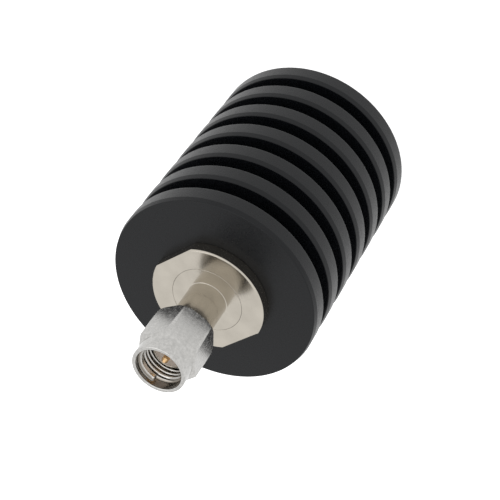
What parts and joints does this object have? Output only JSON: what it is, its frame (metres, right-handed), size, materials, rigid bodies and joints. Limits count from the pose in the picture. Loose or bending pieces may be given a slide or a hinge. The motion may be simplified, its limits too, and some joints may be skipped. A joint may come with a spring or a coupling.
{
  "type": "coaxial rf dummy load",
  "caption": "Coaxial dummy load: a finned round heat sink with a threaded plug connector, whose hexagonal coupling nut turns freely.",
  "frame": {"origin": "centre of the flat rear face of the heat sink, on which the part stands", "axes": "+Z along the common axis of all turned pieces, from the rear face towards the plug; +X at right angles to the flange's wrench flats"},
  "size_m": [0.03, 0.03, 0.0527],
  "materials": {
    "black_anodised": "satin black anodised, fine matt grain",
    "flange_metal": "turned, satin bright",
    "plug_metal": "turned, satin bright",
    "nut_metal": "polished, bright",
    "gold_plate": "gold plated, smooth",
    "dielectric": "white fluoropolymer, waxy",
    "bead_plastic": "amber engineering plastic",
    "seal_rubber": "matt black",
    "ceramic": "white ceramic with a thin grey film",
    "cap_metal": "silver plated",
    "collet_metal": "bright beryllium copper",
    "spring_metal": "spring steel",
    "copper": "bare copper"
  },
  "bodies": {
    "load": {"heat_sink": "black_anodised", "mounting_flange": "flange_metal", "plug_body": "plug_metal", "nut_retaining_ring": "collet_metal", "nut_gasket": "seal_rubber", "center_contact": "gold_plate", "plug_dielectric": "dielectric", "support_bead": "bead_plastic", "resistor_rod": "ceramic", "front_end_cap": "cap_metal", "rear_end_cap": "cap_metal", "ground_collet": "collet_metal", "disc_spring": "spring_metal", "thrust_washer": "spring_metal", "heat_slug": "copper", "flange_seal": "seal_rubber"},
    "coupling_nut": {"coupling_nut": "nut_metal"}
  },
  "joints": [
    {"name": "nut_spin", "type": "hinge", "parent": "load", "child": "coupling_nut", "pos_m": [0, 0, 0.046], "axis": [0, 0, 1], "continuous": true}
  ]
}
